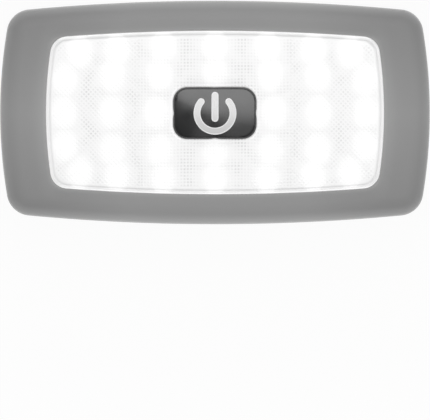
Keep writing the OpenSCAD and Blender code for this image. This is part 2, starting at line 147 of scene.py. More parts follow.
def bowedFace(bm, outline, height, steps=(10, 12, 28)):
    # half length, half width, end arc, side arc and corner radius, as the lamp's outlines are measured
    endSteps, cornerSteps, sideSteps = steps
    length, width = outline["halfLength"], outline["halfWidth"]
    endR, sideR, cornerR = outline["endR"], outline["sideR"], outline["cornerR"]
    endC, sideC = Vector((length - endR, 0)), Vector((0, width - sideR))
    # the corner's centre lies where it touches the end's arc and the side's arc from within
    gap = sideC - endC
    a, b, d = endR - cornerR, sideR - cornerR, gap.length
    t = (a * a - b * b + d * d) / (2 * d)
    u = gap / d
    cornerC = endC + t * u + math.sqrt(a * a - t * t) * Vector((-u.y, u.x))
    endHalf = math.degrees(math.atan2(cornerC.y, cornerC.x - endC.x))
    sideFrom = math.degrees(math.atan2(cornerC.y - sideC.y, cornerC.x))
    before = set(bm.verts)
    vert = bm.verts.new((length, 0, height))
    vert = arc(bm, vert, endC, endHalf, endSteps)
    for turn in (1, -1):
        vert = arc(bm, vert, turn * cornerC, sideFrom - endHalf, cornerSteps)
        vert = arc(bm, vert, turn * sideC, 180 - 2 * sideFrom, sideSteps)
        vert = arc(bm, vert, (-turn * cornerC.x, turn * cornerC.y), sideFrom - endHalf, cornerSteps)
        # the last arc is half an end, up to where the outline began
        halves = 2 if turn > 0 else 1
        vert = arc(bm, vert, -turn * endC, endHalf * halves, endSteps * halves)
    return faceFrom(bm, before)


def roundedFace(bm, length, width, cornerR, height, centre=(0, 0), steps=12, runStep=1.2):
    # straight sides go in short runs, so that a dome over them or a rib on them comes out round
    before = set(bm.verts)
    x, y = length / 2 - cornerR, width / 2 - cornerR
    vert = bm.verts.new((length / 2, -y, height))
    corners = ((x, y), (-x, y), (-x, -y), (x, -y))
    runs = ((0, 2 * y), (-2 * x, 0), (0, -2 * y), (2 * x, 0))
    for corner, run in zip(corners, runs):
        count = max(1, round(Vector(run).length / runStep))
        for _ in range(count):
            vert = bmesh.ops.extrude_vert_indiv(bm, verts=[vert])["verts"][0]
            bmesh.ops.translate(bm, vec=(run[0] / count, run[1] / count, 0), verts=[vert])
        vert = arc(bm, vert, corner, 90, steps)
    drawn = [v for v in bm.verts if v not in before]
    bmesh.ops.translate(bm, vec=(centre[0], centre[1], 0), verts=drawn)
    return faceFrom(bm, before)


def stepFace(bm, face, steps):
    # each step insets the face by its first number and lifts it by its second
    for inward, rise in steps:
        bmesh.ops.inset_individual(bm, faces=[face], thickness=inward, depth=0, use_even_offset=True)
        bmesh.ops.translate(bm, vec=(0, 0, rise), verts=face.verts)
    return face


def prism(bm, face, height):
    # closed block between a face and its copy at a height, which are returned, the copy first
    grown = bmesh.ops.extrude_face_region(bm, geom=[face])
    top = only(bmesh.types.BMFace, grown["geom"])[0]
    bmesh.ops.translate(bm, vec=(0, 0, height), verts=top.verts)
    face.normal_flip()
    return top, face


def roundOver(radius, count):
    # inset and rise of each step round an edge, from upright to level
    angles = [math.radians(90 * i / count) for i in range(count + 1)]
    return [
        (radius * (math.cos(p) - math.cos(q)), radius * (math.sin(q) - math.sin(p)))
        for p, q in zip(angles, angles[1:])]


def reshape(bm, face, outline):
    # moves a face's corners on to another outline of the same make, one by one round the lamp's middle
    target = bowedFace(bm, outline, face.verts[0].co.z)
    corners, places = (sorted(f.verts, key=lambda v: math.atan2(v.co.y, v.co.x)) for f in (face, target))
    for corner, place in zip(corners, places):
        corner.co = place.co
    bmesh.ops.delete(bm, geom=[target], context="FACES")


print("helpers ready")

# materials

grain = {
    "detail": 3.0, "softness": 0.6, "relief": 0.6, "spread": 0.05, "driftPitch": 18.0, "driftDetail": 2.0,
    "field": (0.3, 0.7)}


def newMaterial(name):
    material = bpy.data.materials.new(name)
    material.use_nodes = True
    tree = material.node_tree
    tree.nodes.clear()
    shader = addNode(tree, "BsdfPrincipled")
    addNode(tree, "OutputMaterial", {"Surface": shader})
    place = addNode(tree, "TexCoord").outputs["Object"]
    return material, tree, shader, place


def mouldedNodes(name, colour, roughness, ior=1.53, pitch=0.6, depth=0.03, tint=0.04, metallic=0.0):
    # a plastic or metal off its tool: a slow drift in tone, and a grain of the given pitch, which is drawn
    # coarser than a real tool leaves it, so that it shows
    material, tree, shader, place = newMaterial(name)
    fine = addNode(tree, "TexNoise", {
        "Vector": place, "Scale": 1 / (pitch * mm), "Detail": grain["detail"],
        "Roughness": grain["softness"]})
    slow = addNode(tree, "TexNoise", {
        "Vector": place, "Scale": 1 / (grain["driftPitch"] * mm), "Detail": grain["driftDetail"]})
    base = linear(colour)
    dark = [c * (1 - tint) for c in base[:3]] + [1]
    pale = [min(1, c * (1 + tint)) for c in base[:3]] + [1]
    tone = addNode(tree, "Mix", {0: slow, 6: dark, 7: pale}, data_type="RGBA").outputs[2]
    bump = addNode(tree, "Bump", {"Height": fine, "Distance": depth * mm, "Strength": grain["relief"]})
    spread = grain["spread"]
    rough = addNode(
        tree, "MapRange", (fine, *grain["field"], roughness - spread, roughness + spread), **smoothly)
    tree.links.new(tone, shader.inputs["Base Color"])
    tree.links.new(bump.outputs["Normal"], shader.inputs["Normal"])
    tree.links.new(rough.outputs["Result"], shader.inputs["Roughness"])
    shader.inputs["Metallic"].default_value = metallic
    if not metallic:
        shader.inputs["IOR"].default_value = ior
    return material, tree, shader, place


def moulded(*values, **more):
    return mouldedNodes(*values, **more)[0]


button = {
    "length": 23.6, "width": 14.4, "cornerR": 3.8, "centre": (-0.06, -0.17), "gap": 0.3, "bottom": 10.3,
    "flangeTop": 11.3, "flange": 1.2, "crown": 15.4, "domeR": 110.0, "edgeR": 0.3, "edgeSteps": 6,
    "rings": 14, "wall": 1.3, "ceiling": 13.22}
window = {"halfLength": 49.1, "halfWidth": 23.76, "endR": 124.0, "sideR": 562.0, "cornerR": 5.1}


def windowDistance(tree, place, cornerBlend=5.0):
    # distance in metres out from the window's edge, negative inside it, with its bowed sides by their sag;
    # then how far a point lies to the ends rather than the sides and into a corner, and its x and y unsigned
    axes = addNode(tree, "SeparateXYZ", (place,))
    x, y = [addNode(tree, "Math", (axes.outputs[axis],), operation="ABSOLUTE") for axis in "XY"]
    edges = []
    for out, along, radius, half in ((x, y, "endR", "halfLength"), (y, x, "sideR", "halfWidth")):
        square = addNode(tree, "Math", (along, along), operation="MULTIPLY")
        sag = addNode(tree, "Math", (square, 0.5 / (window[radius] * mm)), operation="MULTIPLY")
        reach = addNode(tree, "Math", (out, sag), operation="ADD")
        edges.append(addNode(tree, "Math", (reach, window[half] * mm), operation="SUBTRACT"))
    distance = addNode(tree, "Math", (*edges, cornerBlend * mm), operation="SMOOTH_MAX")
    endward = addNode(tree, "Math", edges, operation="SUBTRACT")
    corner = addNode(tree, "Math", edges, operation="MINIMUM")
    return distance, endward, corner, x, y


def holeDistance(tree, place):
    # distance in metres out from the edge of the button's hole, and no more than zero inside it
    axes = addNode(tree, "SeparateXYZ", (place,))
    squares = []
    for axis, size, middle in zip("XY", ("length", "width"), button["centre"]):
        side = addNode(tree, "Math", (axes.outputs[axis], middle * mm), operation="SUBTRACT")
        side = addNode(tree, "Math", (side,), operation="ABSOLUTE")
        straight = button[size] / 2 + button["gap"] - button["cornerR"]
        past = addNode(tree, "Math", (side, straight * mm), operation="SUBTRACT")
        past = addNode(tree, "Math", (past, 0.0), operation="MAXIMUM")
        squares.append(addNode(tree, "Math", (past, past), operation="MULTIPLY"))
    both = addNode(tree, "Math", squares, operation="ADD")
    away = addNode(tree, "Math", (both,), operation="SQRT")
    return addNode(tree, "Math", (away, button["cornerR"] * mm), operation="SUBTRACT")


# ABS, injection moulded in a spark-eroded tool: an even mid grey with a soft matt sheen
def bezelMaterial():
    look = {
        "colour": "#828282", "roughness": 0.5, "pitch": 0.5, "depth": 0.012, "tint": 0.015,
        "wide": (-20, 6), "widePaintedLight": 0.044, "lip": (0, 0.5), "lipGlow": 0.05, "edge": (0, 1.4),
        "edgeGlow": 0.03, "rim": (0, 4.6), "rimGlow": 0.025, "end": (0, 7.5), "endPower": 1.6,
        "endward": (-3, 4), "endPaintedLight": 0.03, "endSide": (6, 24), "endSideShare": 0.2}
    material, tree, shader, place = mouldedNodes(
        "ABS moulded matt grey", look["colour"], look["roughness"], pitch=look["pitch"],
        depth=look["depth"], tint=look["tint"])
    distance, endward, corner, _, y = windowDistance(tree, place)
    # painted light: the bezel is given a glow, most beside the window and least in the corners, standing in
    # for the light that the lit lens throws on it and lifting the shadow that the proud lens casts beside the
    # window
    glow = addNode(tree, "MapRange", (corner, *metres(look["wide"]), look["widePaintedLight"], 0))
    # painted light in bands along the window's edge, over its bevel and across the flat beside it
    for name in ("lip", "edge", "rim"):
        paintedBand = addNode(tree, "MapRange", (distance, *metres(look[name]), look[name + "Glow"], 0), **smoothly)
        glow = addNode(tree, "Math", (glow, paintedBand), operation="ADD")
    # more painted light beside the window's ends, strongest across their middle
    end = addNode(tree, "MapRange", (distance, *metres(look["end"]), 1, 0))
    end = addNode(tree, "Math", (end, look["endPower"]), operation="POWER")
    toEnds = addNode(tree, "MapRange", (endward, *metres(look["endward"]), 0, look["endPaintedLight"]), **smoothly)
    toMiddle = addNode(tree, "MapRange", (y, *metres(look["endSide"]), 1, look["endSideShare"]), **smoothly)
    for share in (toEnds, toMiddle):
        end = addNode(tree, "Math", (end, share), operation="MULTIPLY")
    glow = addNode(tree, "Math", (glow, end), operation="ADD")
    # the painted light goes in as the bezel's emission
    tree.links.new(glow.outputs[0], shader.inputs["Emission Strength"])
    shader.inputs["Emission Color"].default_value = linear(whiteLight)
    return material


def ledDistance(tree, x, y, tall):
    # distance in metres to the nearest LED, with the lamp folded to a quarter and y counted times tall
    point = addNode(tree, "CombineXYZ", (x, addNode(tree, "Math", (y, tall), operation="MULTIPLY")))
    centres = set()
    for name in frame["nodes"]:
        if name.startswith("led_"):
            low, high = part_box(name)
            centre = (low + high) / 2
            centres.add((round(abs(centre.x), 5), round(abs(centre.y), 5)))
    nearest = None
    for cx, cy in sorted(centres):
        away = addNode(tree, "VectorMath", (point, (cx, cy * tall, 0)), operation="DISTANCE").outputs["Value"]
        if nearest is not None:
            away = addNode(tree, "Math", (nearest, away), operation="MINIMUM")
        nearest = away
    return nearest


def prismRows(tree, x, y, pitch, turned):
    # square to the lamp in its middle, crossed at 45 degrees towards its ends
    slanted = []
    for how in ("ADD", "SUBTRACT"):
        both = addNode(tree, "Math", (x, y), operation=how)
        slanted.append(addNode(tree, "Math", (both, math.sqrt(0.5)), operation="MULTIPLY"))
    patterns = []
    for pair in ((x, y), slanted):
        rows = []
        for axis in pair:
            phase = addNode(tree, "Math", (axis, 2 * math.pi / (pitch * mm)), operation="MULTIPLY")
            wave = addNode(tree, "Math", (phase,), operation="SINE")
            rows.append(addNode(tree, "MapRange", (wave, -1, 1), **smoothly))
        patterns.append(addNode(tree, "Math", rows, operation="MULTIPLY"))
    square, crossed = patterns
    change = addNode(tree, "Math", (crossed, square), operation="SUBTRACT")
    share = addNode(tree, "MapRange", (x, *metres(turned)), **smoothly)
    change = addNode(tree, "Math", (share, change), operation="MULTIPLY")
    return addNode(tree, "Math", (square, change), operation="ADD")


# polycarbonate, opal, moulded with fine prisms and lit from behind: soft bright spots over a faint grid
def lensMaterial():
    # the prisms are drawn as coarse as they need to be to show, and the real ones may be finer
    look = {
        "colour": "#dcdcdc", "roughness": 0.3, "ior": 1.585, "low": 0.214, "mid": 0.233, "high": 0.33,
        "core": (1.6, 4.7), "halo": (3.4, 7.2), "tall": 0.78, "pitch": 0.95, "turned": (19, 26),
        "field": (-2.4, -1.6), "patch": 3.5, "patchDetail": 2.0, "patchField": (0.35, 0.65),
        "patchShare": (0.45, 1.45), "shade": 0.12, "groove": (0.2, 0.9), "grooveAt": 1.05,
        "grooveShade": 0.075, "grooveCore": (0.12, 0.5), "rim": (-0.7, -0.3), "rimGlow": 0.06,
        "hole": (0.3, 1.1), "holeGlow": 0.07, "depth": 0.05, "relief": 0.5}
    material, tree, shader, place = newMaterial("Polycarbonate opal prism lit")
    distance, _, _, x, y = windowDistance(tree, place)
    nearest = ledDistance(tree, x, y, look["tall"])
    core = addNode(tree, "MapRange", (nearest, *metres(look["core"]), 1, 0), **smoothly)
    halo = addNode(tree, "MapRange", (nearest, *metres(look["halo"]), 1, 0), **smoothly)
    # the prisms stop short of the groove, and catch the light unevenly in patches of some millimetres
    field = addNode(tree, "MapRange", (distance, *metres(look["field"]), 1, 0), **smoothly)
    patches = addNode(tree, "TexNoise", {
        "Vector": place, "Scale": 1 / (look["patch"] * mm), "Detail": look["patchDetail"]})
    patches = addNode(tree, "MapRange", (patches, *look["patchField"], *look["patchShare"]), **smoothly)
    prisms = prismRows(tree, x, y, look["pitch"], look["turned"])
    for share in (field, patches):
        prisms = addNode(tree, "Math", (prisms, share), operation="MULTIPLY")
    unlit = addNode(tree, "Math", (1.0, halo), operation="SUBTRACT")
    shown = addNode(tree, "Math", (prisms, unlit), operation="MULTIPLY")
    # the groove round the prism field is the dullest, but not in front of an LED
    groove = addNode(tree, "Math", (distance, look["grooveAt"] * mm), operation="ADD")
    groove = addNode(tree, "Math", (groove,), operation="ABSOLUTE")
    groove = addNode(tree, "MapRange", (groove, *metres(look["groove"]), 1, 0), **smoothly)
    dull = addNode(tree, "MapRange", (core, *look["grooveCore"], look["grooveShade"], 0), **smoothly)
    # the lens's outer edge and the edge of the button's hole are bright
    rim = addNode(tree, "MapRange", (distance, *metres(look["rim"]), 0, look["rimGlow"]), **smoothly)
    hole = addNode(
        tree, "MapRange", (holeDistance(tree, place), *metres(look["hole"]), look["holeGlow"], 0), **smoothly)
    level = look["low"]
    for how, part, strength in (
            ("ADD", halo, look["mid"] - look["low"]), ("ADD", core, look["high"] - look["mid"]),
            ("SUBTRACT", shown, look["shade"]), ("SUBTRACT", groove, dull)):
        part = addNode(tree, "Math", (part, strength), operation="MULTIPLY")
        level = addNode(tree, "Math", (level, part), operation=how)
    for edge in (rim, hole):
        level = addNode(tree, "Math", (level, edge), operation="ADD")
    bump = addNode(tree, "Bump", {
        "Height": prisms, "Distance": look["depth"] * mm, "Strength": look["relief"]})
    tree.links.new(level.outputs[0], shader.inputs["Emission Strength"])
    tree.links.new(bump.outputs["Normal"], shader.inputs["Normal"])
    shader.inputs["Emission Color"].default_value = linear(whiteLight)
    shader.inputs["Base Color"].default_value = linear(look["colour"])
    shader.inputs["Roughness"].default_value = look["roughness"]
    shader.inputs["IOR"].default_value = look["ior"]
    return material


# ABS in a mirror-polished tool: near black, and shows the lamps above it
def buttonMaterial():
    look = {
        "colour": "#131314", "ior": 1.54, "wave": 6.0, "waveDetail": 1.0, "field": (0.3, 0.7),
        "roughness": (0.125, 0.175), "depth": 0.02, "relief": 0.4}
    material, tree, shader, place = newMaterial("ABS high gloss black")
    slow = addNode(tree, "TexNoise", {
        "Vector": place, "Scale": 1 / (look["wave"] * mm), "Detail": look["waveDetail"]})
    rough = addNode(tree, "MapRange", (slow, *look["field"], *look["roughness"]), **smoothly)
    bump = addNode(tree, "Bump", {"Height": slow, "Distance": look["depth"] * mm, "Strength": look["relief"]})
    tree.links.new(rough.outputs["Result"], shader.inputs["Roughness"])
    tree.links.new(bump.outputs["Normal"], shader.inputs["Normal"])
    shader.inputs["Base Color"].default_value = linear(look["colour"])
    shader.inputs["IOR"].default_value = look["ior"]
    return material


# clear polycarbonate with a frosted face, the light guide of the on/off sign: pale, whiter along its edges
def signMaterial():
    # the specks of the frosting are drawn coarser than they are, so that they show
    look = {
        "low": "#c7c7c7", "high": "#ebebeb", "rim": "#f4f4f4", "height": (-6.5, 3), "speck": "#b4b4b4",
        "speckPitch": 0.35, "speckDetail": 2.0, "speckField": (0.45, 0.75), "speckShare": 0.2,
        "roughness": 0.6, "ior": 1.585, "glow": 0.05}
    material, tree, shader, place = newMaterial("Polycarbonate frosted light guide")
    axes = addNode(tree, "SeparateXYZ", (place,))
    height = addNode(tree, "MapRange", (axes.outputs["Y"], *metres(look["height"])), **smoothly)
    speck = addNode(tree, "TexNoise", {
        "Vector": place, "Scale": 1 / (look["speckPitch"] * mm), "Detail": look["speckDetail"]})
    speck = addNode(tree, "MapRange", (speck, *look["speckField"], 0, look["speckShare"]), **smoothly)
    rim = addNode(tree, "Attribute", attribute_name="rim").outputs["Fac"]
    tone = linear(look["low"])
    for share, colour in ((height, look["high"]), (speck, look["speck"]), (rim, look["rim"])):
        tone = addNode(tree, "Mix", {0: share, 6: tone, 7: linear(colour)}, data_type="RGBA").outputs[2]
    tree.links.new(tone, shader.inputs["Base Color"])
    shader.inputs["Roughness"].default_value = look["roughness"]
    shader.inputs["IOR"].default_value = look["ior"]
    shader.inputs["Emission Color"].default_value = linear(whiteLight)
    shader.inputs["Emission Strength"].default_value = look["glow"]
    return material


greyAbs = bezelMaterial()
opalLens = lensMaterial()
blackAbs = buttonMaterial()
frostedSign = signMaterial()
print("materials of the front ready")

# bezel

housing = {"halfLength": 62.5, "halfWidth": 32.5, "endR": 146.0, "sideR": 579.0, "cornerR": 7.0}
bezel = {
    "rim": 0.4, "front": 13.6, "wall": 1.8, "edgeR": 3.2, "edgeSteps": 8, "crownR": 14.0, "crownSteps": 6,
    "fallW": 5.8, "draft": 2.0, "windowBevel": 0.4, "bevelSteps": 3}


def frontSection(inwardOf):
    # the wall, the outer edge and the falling front as pairs of inset and height, moved in by a thickness
    a = math.radians(bezel["draft"])
    edgeR, crownR, fallW = bezel["edgeR"], bezel["crownR"], bezel["fallW"]
    edgeSteps, crownSteps = bezel["edgeSteps"], bezel["crownSteps"]
    # the edge's centre lies where the edge touches the drafted wall and the falling front from within
    reach = crownR - edgeR
    da, db = fallW - edgeR / math.cos(a), bezel["front"] - crownR - bezel["rim"]
    k, m = da * math.tan(a) + db, 1 + math.tan(a) ** 2
    rise = (k + math.sqrt(k * k - m * (da * da + db * db - reach * reach))) / m
    edgeC = Vector((edgeR / math.cos(a) + rise * math.tan(a), bezel["rim"] + rise))
    crownC = Vector((fallW, bezel["front"] - crownR))
    fall = math.atan2(crownC.x - edgeC.x, edgeC.y - crownC.y)
    section = [Vector((inwardOf / math.cos(a), bezel["rim"]))]
    for i in range(edgeSteps + 1):
        p = math.pi - a + (fall + math.pi / 2 - math.pi + a) * i / edgeSteps
        section.append(edgeC + (edgeR - inwardOf) * Vector((math.cos(p), math.sin(p))))
    for i in range(1, crownSteps + 1):
        p = math.pi / 2 + fall * (1 - i / crownSteps)
        section.append(crownC + (crownR - inwardOf) * Vector((math.cos(p), math.sin(p))))
    return section


def sectionSteps(section):
    return [(q.x - p.x, q.y - p.y) for p, q in zip(section, section[1:])]


def makeBezel():
    bm = bmesh.new()
    start = bowedFace(bm, housing, bezel["rim"])
    outside, inside = frontSection(0), frontSection(bezel["wall"])
    top, bottom = prism(bm, start, 0)
    top = stepFace(bm, top, sectionSteps(outside) + [(0, 0)])
    bottom = stepFace(bm, bottom, [(inside[0].x, 0)] + sectionSteps(inside) + [(0, 0)])
    reshape(bm, top, window)
    reshape(bm, bottom, window)
    mouth = list(top.edges)
    stepFace(bm, top, [(0, -bezel["wall"])])
    bmesh.ops.delete(bm, geom=[top, bottom], context="FACES_ONLY")
    bmesh.ops.remove_doubles(bm, verts=bm.verts, dist=weld["bezel"])
    bmesh.ops.bevel(
        bm, geom=[e for e in mouth if e.is_valid], offset=bezel["windowBevel"], offset_type="OFFSET",
        affect="EDGES", segments=bezel["bevelSteps"], profile=0.5, material=-1)
    return finishMesh(bm, "bezel_shell", "lamp", greyAbs, ["bezel"])


makeBezel()
print("bezel made")

# lens

lens = {
    "gap": 0.12, "flange": 1.4, "bottom": 10.6, "flangeTop": 11.8, "top": 14.4, "thick": 1.8, "skirt": 1.4,
    "edgeR": 0.5, "edgeSteps": 5, "border": 0.3, "grooveW": 0.5, "grooveD": 0.1, "collar": 1.2,
    "collarEnd": 11.6, "holeR": 0.35, "holeRSteps": 4, "holeStep": 0.4, "ribHalf": 1.6, "ribEnds": 0.22,
    "ribFront": 0.26, "ribBack": 0.06}


def guideRibs(face):
    # low rounded ribs that keep the button true, one in the middle of each side of its hole
    ends, sides = button["length"] / 2 + button["gap"], button["width"] / 2 + button["gap"]
    for vert in face.verts:
        x, y = vert.co.x - button["centre"][0], vert.co.y - button["centre"][1]
        atEnd, atSide = abs(x) > ends - slack, abs(y) > sides - slack
        along = abs(y) if atEnd else abs(x)
        if along >= lens["ribHalf"]:
            continue
        rise = (1 + math.cos(math.pi * along / lens["ribHalf"])) / 2
        if atEnd:
            vert.co.x -= math.copysign(rise * lens["ribEnds"], x)
        elif atSide:
            vert.co.y -= math.copysign(rise * lens["ribFront" if y < 0 else "ribBack"], y)


def makeLens():
    bm = bmesh.new()
    start = bowedFace(bm, moved(window, -lens["flange"]), lens["bottom"])
    top, bottom = prism(bm, start, lens["flangeTop"] - lens["bottom"])
    ledge = lens["flange"] + lens["gap"]
    wallRise = lens["top"] - lens["edgeR"] - lens["flangeTop"]
    # the groove goes down, along and up in thirds of its width
    third = lens["grooveW"] / 3
    top = stepFace(
        bm, top,
        [(ledge, 0), (0, wallRise)] + roundOver(lens["edgeR"], lens["edgeSteps"])
        + [(lens["border"], 0), (third, -lens["grooveD"]), (third, 0), (third, lens["grooveD"])])
    under = lens["top"] - lens["thick"]
    bottom = stepFace(bm, bottom, [(ledge + lens["skirt"], 0), (0, under - lens["bottom"])])
    # collar round the button's hole: a block whose inner face goes up to the front of the lens
    extra = button["gap"] + lens["collar"]
    ring = roundedFace(
        bm, button["length"] + 2 * extra, button["width"] + 2 * extra, button["cornerR"] + extra, under,
        button["centre"], runStep=lens["holeStep"])
    inner, ringTop = prism(bm, ring, lens["collarEnd"] - under)
    inner.normal_flip()
    ringTop.normal_flip()
    stepFace(bm, inner, [(lens["collar"], 0)])
    guideRibs(inner)
    stepFace(bm, inner, [(0, lens["top"] - lens["collarEnd"])])
    hole = list(inner.edges)
    topRim, underRim, collarRim = list(top.edges), list(bottom.edges), list(ringTop.edges)
    bmesh.ops.delete(bm, geom=[top, bottom, inner, ringTop], context="FACES_ONLY")
    bmesh.ops.triangle_fill(bm, edges=topRim + hole, use_beauty=True)
    bmesh.ops.triangle_fill(bm, edges=underRim + collarRim, use_beauty=True)
    bmesh.ops.bevel(
        bm, geom=hole, offset=lens["holeR"], offset_type="OFFSET", affect="EDGES",
        segments=lens["holeRSteps"], profile=0.5, material=-1)
    return finishMesh(bm, "lens_window", "lamp", opalLens, ["lens"])


makeLens()
print("lens made")

# push button and its sign

sign = {
    "ringR": 5.22, "stroke": 2.0, "centreY": -0.2, "gapHalf": 50.0, "ringSteps": 72, "endSteps": 12,
    "barW": 2.05, "barTop": 6.0, "barFoot": -2.7, "barFlat": 0.001, "sunk": 0.1, "proud": 0.12, "edge": 0.1,
    "edgeSteps": 3, "rimW": 0.3}


def onDome(verts):
    # bends flat work down on to the button's domed top
    for vert in verts:
        flat = vert.co.xy.length
        vert.co.z -= button["domeR"] - math.sqrt(button["domeR"] ** 2 - flat * flat)


def makeButton():
    bm = bmesh.new()
    flange = button["flange"]
    start = roundedFace(
        bm, button["length"] + 2 * flange, button["width"] + 2 * flange, button["cornerR"] + flange,
        button["bottom"], button["centre"])
    top, bottom = prism(bm, start, button["flangeTop"] - button["bottom"])
    shoulder = button["crown"] - button["edgeR"]
    top = stepFace(
        bm, top,
        [(flange, 0), (0, shoulder - button["flangeTop"])] + roundOver(button["edgeR"], button["edgeSteps"]))
    # rings towards the middle, for the dome to bend at
    toCentre = Matrix.Translation((-button["centre"][0], -button["centre"][1], 0))
    for i in range(button["rings"], 1, -1):
        stepFace(bm, top, [(0, 0)])
        bmesh.ops.scale(bm, vec=((i - 1) / i, (i - 1) / i, 1), space=toCentre, verts=top.verts)
    onDome([v for v in bm.verts if v.co.z > shoulder - slack])
    stepFace(bm, bottom, [(flange + button["wall"], 0), (0, button["ceiling"] - button["bottom"])])
    return finishMesh(bm, "button_cap_gloss", "button", blackAbs, ["button_cap"])


def raiseSign(bm, face):
    # a stroke of the sign with a rounded edge, whose vertices inside its rim are returned
    top, _ = prism(bm, face, sign["proud"] - sign["edge"] / 2)
    top = stepFace(bm, top, roundOver(sign["edge"], sign["edgeSteps"]))
    outer = set(top.verts)
    stepFace(bm, top, [(sign["rimW"], 0)])
    return [v for v in top.verts if v not in outer]


def onRing(radius, angle):
    return Vector((0, sign["centreY"])) + radius * Vector((math.cos(angle), math.sin(angle)))


def makeSign():
    bm = bmesh.new()
    rim = bm.verts.layers.float.new("rim")
    base = button["crown"] - sign["sunk"]
    half, ringR, middle = sign["stroke"] / 2, sign["ringR"], (0, sign["centreY"])
    # ring: its outer arc, a round end, its inner arc and the other round end
    before = set(bm.verts)
    first = math.radians(90 + sign["gapHalf"])
    sweep = 360 - 2 * sign["gapHalf"]
    last = first + math.radians(sweep)
    point = onRing(ringR + half, first)
    vert = bm.verts.new((point.x, point.y, base))
    vert = arc(bm, vert, middle, sweep, sign["ringSteps"])
    vert = arc(bm, vert, onRing(ringR, last), 180, sign["endSteps"])
    vert = arc(bm, vert, middle, -sweep, sign["ringSteps"])
    arc(bm, vert, onRing(ringR, first), 180, sign["endSteps"])
    inside = raiseSign(bm, faceFrom(bm, before))
    # bar with two round ends, each with a hair of flat between its corners
    width, top, foot = sign["barW"], sign["barTop"], sign["barFoot"]
    bar = roundedFace(bm, width, top - foot, width / 2 - sign["barFlat"], base)
    bmesh.ops.translate(bm, vec=(0, (top + foot) / 2, 0), verts=bar.verts)
    inside += raiseSign(bm, bar)
    for vert in bm.verts:
        vert[rim] = 1.0
    for vert in inside:
        vert[rim] = 0.0
    onDome(bm.verts)
    bmesh.ops.triangulate(bm, faces=[f for f in bm.faces if len(f.verts) > 4])
    return finishMesh(bm, "button_sign", "button", frostedSign)


makeButton()
makeSign()
print("button and sign made")

# the pieces inside and behind, kept from the CAD frame

inner = {
    # base plate: off-white and matt
    "abs_white": moulded("ABS moulded white", "#dbdbd8", 0.55, pitch=0.7, depth=0.03),
    # board: bright white with a satin sheen
    "solder_mask": moulded("Fibreglass board white solder mask", "#edefea", 0.35, pitch=1.2, depth=0.01),
    # board screws and switch cover: bright cool metal, a little dulled
    "zinc_steel": moulded("Steel zinc plated", "#c6c8ca", 0.35, pitch=0.4, depth=0.01, metallic=1.0),
    # switch body: black and satin
    "pbt_black": moulded("PBT moulded black", "#1c1c1d", 0.5, pitch=0.5, depth=0.02),
    # switch terminals: bright metal with a warm cast
    "tinned_brass": moulded("Brass tinned", "#cfcdc2", 0.3, pitch=0.5, depth=0.01, metallic=1.0),
    # plunger: clean white and smooth
    "pom_white": moulded("Acetal moulded white", "#ecece8", 0.4, pitch=0.6, depth=0.02),
    # spring: grey drawn wire
    "spring_steel": moulded("Spring steel drawn", "#a8abad", 0.3, pitch=0.2, depth=0.005, metallic=1.0),
    # pin header: ivory and satin
    "nylon_ivory": moulded("Nylon moulded ivory", "#e6e0cf", 0.5, pitch=0.6, depth=0.02),
    # diode: black and matt
    "epoxy_black": moulded("Epoxy moulded black", "#202020", 0.6, pitch=0.3, depth=0.02),
    # LEDs: warm white and smooth
    "led_package": moulded("Silicone and PPA white LED", "#f2efdf", 0.4, pitch=0.5, depth=0.01),
    # resistors: black with a glaze
    "resistor_ceramic": moulded("Ceramic glazed black", "#242426", 0.35, pitch=0.3, depth=0.01),
    "abs_grey": greyAbs, "pc_opal": opalLens, "abs_black": blackAbs}
slotOf = {part["node"]: part["material_slot"] for part in frame["record"]["subparts"]}
for name, node in frame["nodes"].items():
    node.data.materials.clear()
    node.data.materials.append(inner[slotOf[name]])
print("inner pieces dressed")

# return spring of the switch, which shortens as the button goes in; here it is made at one length only

spring = {
    "radius": 1.6, "wire": 0.25, "wireSides": 10, "turns": 5, "turnSteps": 20, "bottom": 3.4, "top": 7.1,
    "travel": 1.5, "smoothAngle": 60}


def makeSpring():
    bm = bmesh.new()
    wire, steps = spring["wire"], spring["turns"] * spring["turnSteps"]
    length = spring["top"] - spring["bottom"]
    bmesh.ops.create_circle(bm, radius=wire, segments=spring["wireSides"])
    bmesh.ops.rotate(bm, cent=(0, 0, 0), matrix=Matrix.Rotation(math.radians(90), 3, "X"), verts=bm.verts)
    bmesh.ops.translate(bm, vec=(spring["radius"], 0, spring["bottom"] + wire), verts=bm.verts)
    bmesh.ops.spin(
        bm, geom=bm.verts[:] + bm.edges[:], cent=(0, 0, 0), axis=up, dvec=(0, 0, (length - 2 * wire) / steps),
        angle=math.radians(360 * spring["turns"]), steps=steps)
    bmesh.ops.holes_fill(bm, edges=[e for e in bm.edges if e.is_boundary])
    coil = finishMesh(
        bm, "switch_return_spring", "lamp", inner["spring_steel"], ["switch_spring"],
        spring["smoothAngle"])
    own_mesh(coil)


makeSpring()
print("spring made")

# floor, light and camera

# a strip has its place, width and radiance, and a softbox its place, size, radiance and turn in degrees
studio = {
    "camera": {
        "lens": 1500.0, "sensor": 36.0, "near": 0.05, "far": 50, "frameWidth": 125.1, "aimY": -28.37},
    "room": (0.6, 0.95), "horizon": 0.91, "zenith": 0.29,
    "floorColour": "#f4f4f4", "floorGlow": 0.93, "floorDrop": 0.3, "floorInset": 2.0, "floorReach": 4000.0,
    "stripHeight": 0.3,
    "strips": {
        "strip_back": ((0, 1.3, 0.28), 0.7, 11.6),
        "strip_front": ((0, -1.3, 0.28), 0.7, 11.6),
        "strip_left": ((-1.3, 0, 0.28), 0.4, 4.6),
        "strip_right": ((1.3, 0, 0.28), 0.4, 4.6)},
    "softboxes": {
        "softbox_above": ((0.05, 0.19, 1.2), (0.9, 0.42), 4.4, -13),
        "softbox_side": ((0.2, -0.1, 1.2), (0.36, 0.26), 0.9, 0),
        "softbox_low": ((-0.08, -0.15, 1.2), (0.12, 0.2), 1.1, 0)}}


